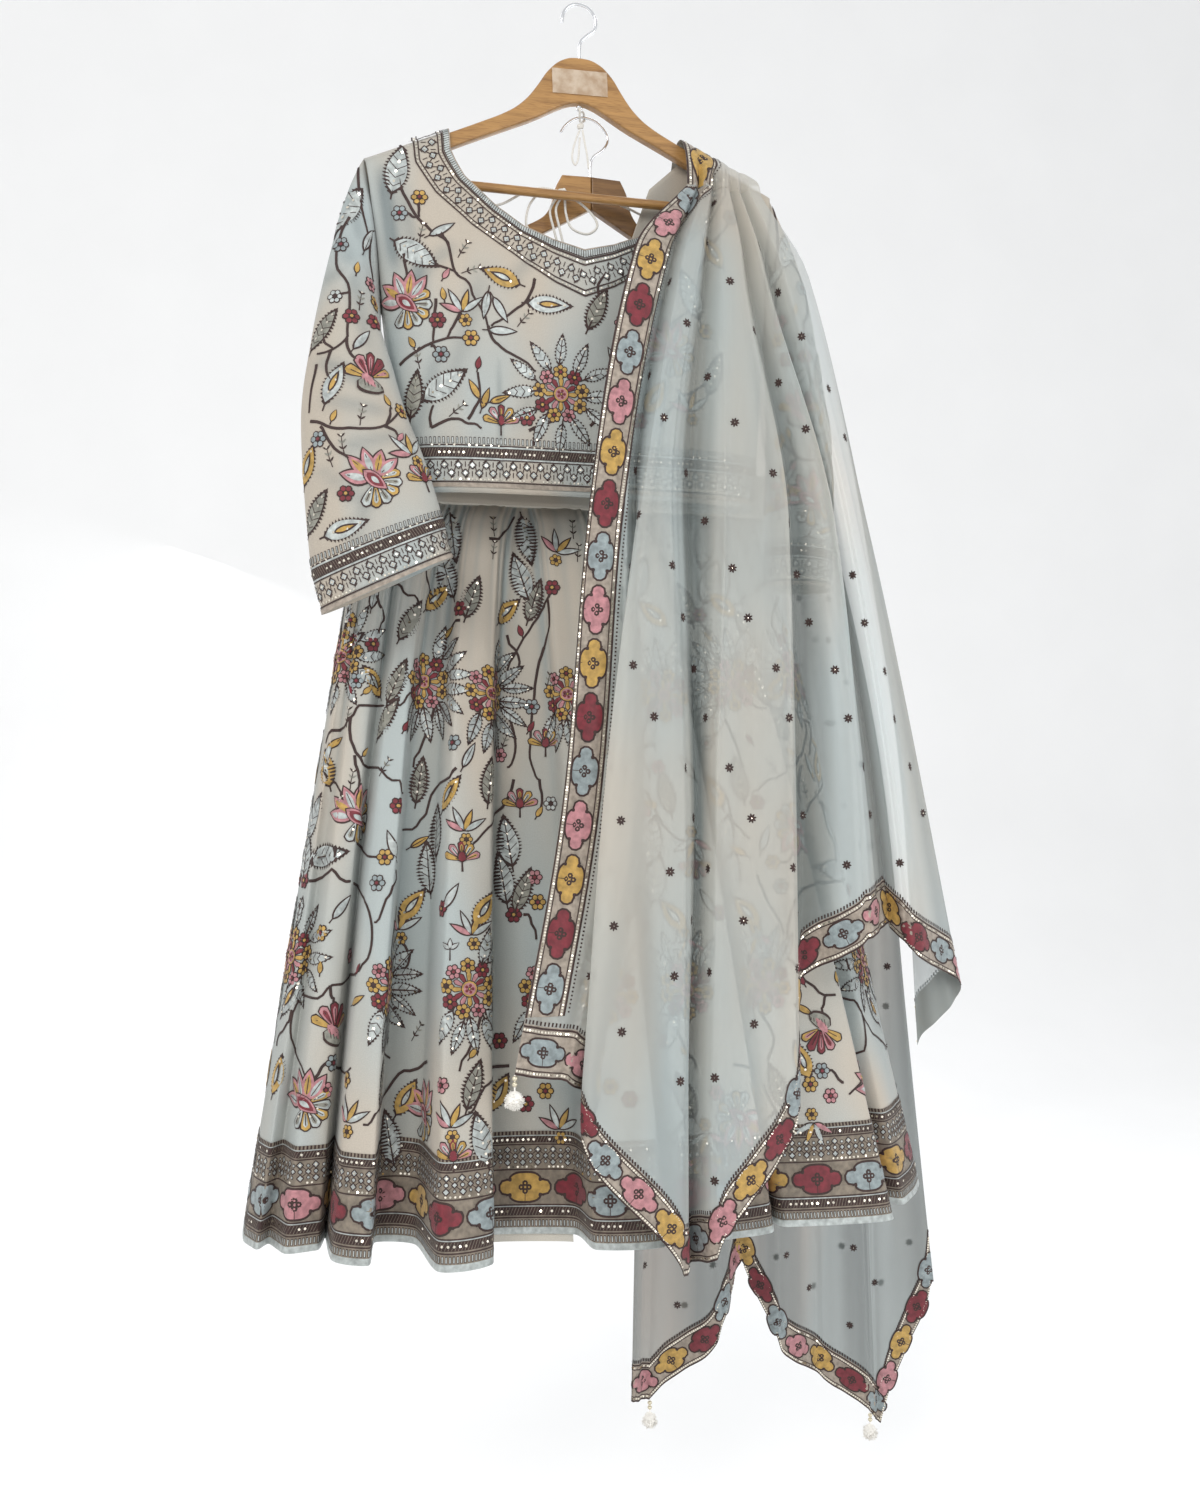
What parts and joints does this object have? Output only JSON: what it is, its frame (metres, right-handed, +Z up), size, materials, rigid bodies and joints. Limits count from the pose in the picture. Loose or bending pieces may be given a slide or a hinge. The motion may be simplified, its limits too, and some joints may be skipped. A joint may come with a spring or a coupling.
{
  "type": "lehenga set with hangers",
  "caption": "Embroidered lehenga set: blouse, pleated skirt and sheer scarf with bordered edges and tassels, hung on two wooden hangers.",
  "frame": {"origin": "inner top of the front hanger's hook, where it rests on a rail", "axes": "+Z up, +X to the viewer's right as seen from the front, +Y from the front to the back"},
  "size_m": [0.9092, 0.383, 1.7901],
  "materials": {
    "wood": "satin varnish",
    "wood_dark": "satin varnish",
    "chrome": "polished wire",
    "tape": "blank translucent tape, slightly glossy",
    "cord": "spun cord",
    "tassel": "wool ball and glass beads",
    "embroidered_band": "matt with silver sequins and coloured silk",
    "scarf_cloth": "sheer georgette",
    "satin": "dull satin",
    "blouse_cloth": "matt, embroidered",
    "skirt_cloth": "matt, embroidered"
  },
  "bodies": {
    "root": {"blouse_back": "blouse_cloth", "blouse_front": "blouse_cloth", "cuff_band_left": "embroidered_band", "cuff_band_right": "embroidered_band", "dori_bow_left": "cord", "dori_bow_right": "cord", "dori_knot": "cord", "dori_left": "cord", "dori_right": "cord", "dori_tail_a": "cord", "dori_tail_b": "cord", "front_hanger_bar": "wood", "front_hanger_body": "wood", "front_hanger_hook": "chrome", "hang_cord": "cord", "hang_drop": "cord", "hang_knot": "cord", "hang_tail": "cord", "hanger_eye": "chrome", "hanger_tape": "tape", "hem_band_back": "embroidered_band", "hem_band_front": "embroidered_band", "neck_band_front": "embroidered_band", "rear_hanger_hook": "chrome", "rear_hanger_left": "wood", "rear_hanger_right": "wood_dark", "scarf_end_border_edge": "embroidered_band", "scarf_end_border_middle": "embroidered_band", "scarf_end_border_outer": "embroidered_band", "scarf_front_edge": "scarf_cloth", "scarf_front_middle": "scarf_cloth", "scarf_front_outer": "scarf_cloth", "scarf_long_border_front": "embroidered_band", "scarf_rear_border_left": "embroidered_band", "scarf_rear_border_right": "embroidered_band", "scarf_rear_left": "scarf_cloth", "scarf_rear_right": "scarf_cloth", "scarf_shoulder": "scarf_cloth", "skirt_back": "skirt_cloth", "skirt_border_back": "embroidered_band", "skirt_border_front": "embroidered_band", "skirt_front": "skirt_cloth", "skirt_lining_front": "satin", "skirt_loop_left": "cord", "skirt_loop_right": "cord", "skirt_waistband": "satin", "sleeve_left": "blouse_cloth", "sleeve_right": "blouse_cloth", "tassel_front": "tassel", "tassel_rear_left": "tassel", "tassel_rear_right": "tassel"}
  },
  "joints": []
}
